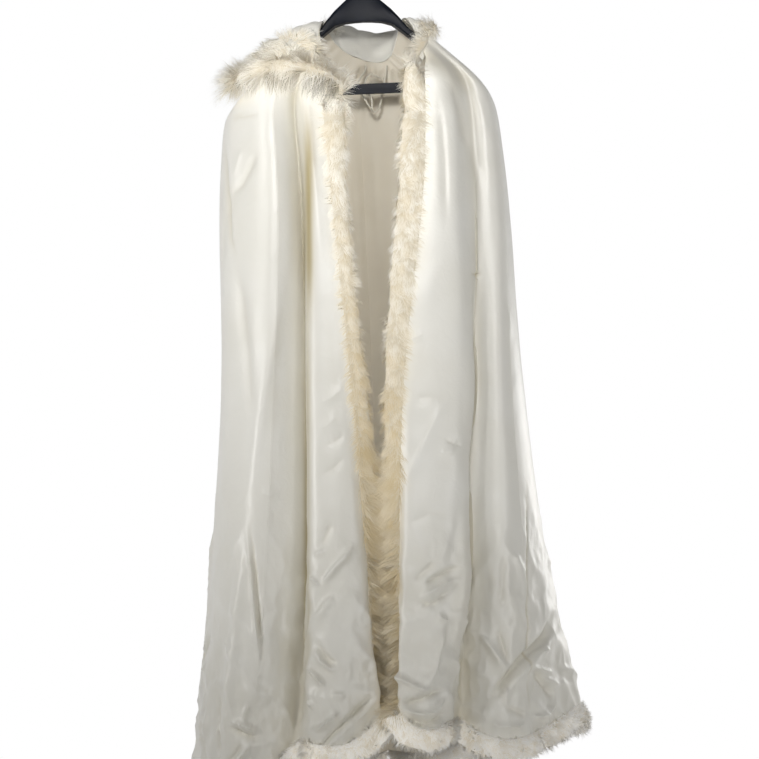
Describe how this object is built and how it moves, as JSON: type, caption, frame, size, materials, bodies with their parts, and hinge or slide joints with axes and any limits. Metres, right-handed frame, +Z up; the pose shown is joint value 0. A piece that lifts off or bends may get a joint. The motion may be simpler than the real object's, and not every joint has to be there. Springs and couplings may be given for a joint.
{
  "type": "hooded bridal cape on a hanger",
  "caption": "Long hooded bridal cape in ivory satin with faux-fur bands down the fronts, round the hem and on the hood, hanging open on a black suit hanger.",
  "frame": {"origin": "bearing point at the inside top of the hanger's hook, where it rests on a rail", "axes": "+Z up, +X towards the wearer's left, -Y towards the front, where the cape opens"},
  "size_m": [0.7641, 0.4244, 1.5794],
  "materials": {
    "satin": "ivory duchesse satin, soft sheen",
    "lining": "cream lining, matt satin",
    "fur": "ivory faux fur, pile about 20 mm",
    "cord": "round ivory satin cord",
    "black plastic": "moulded, smooth, slightly glossy",
    "steel": "bright wire"
  },
  "bodies": {
    "root": {"front_right": "satin", "front_left": "satin", "back_right": "satin", "back_left": "satin", "lining_right": "lining", "lining_left": "lining", "hood_right": "satin", "hood_left": "satin", "fur_front_right": "fur", "fur_front_left": "fur", "fur_hem_front_right": "fur", "fur_hem_back_right": "fur", "fur_hem_back_left": "fur", "fur_hem_front_left": "fur", "fur_hood": "fur", "neck_cord_long": "cord", "neck_cord_short": "cord", "cord_knot": "cord", "hanger_body": "black plastic", "hanger_hook": "steel"}
  },
  "joints": []
}
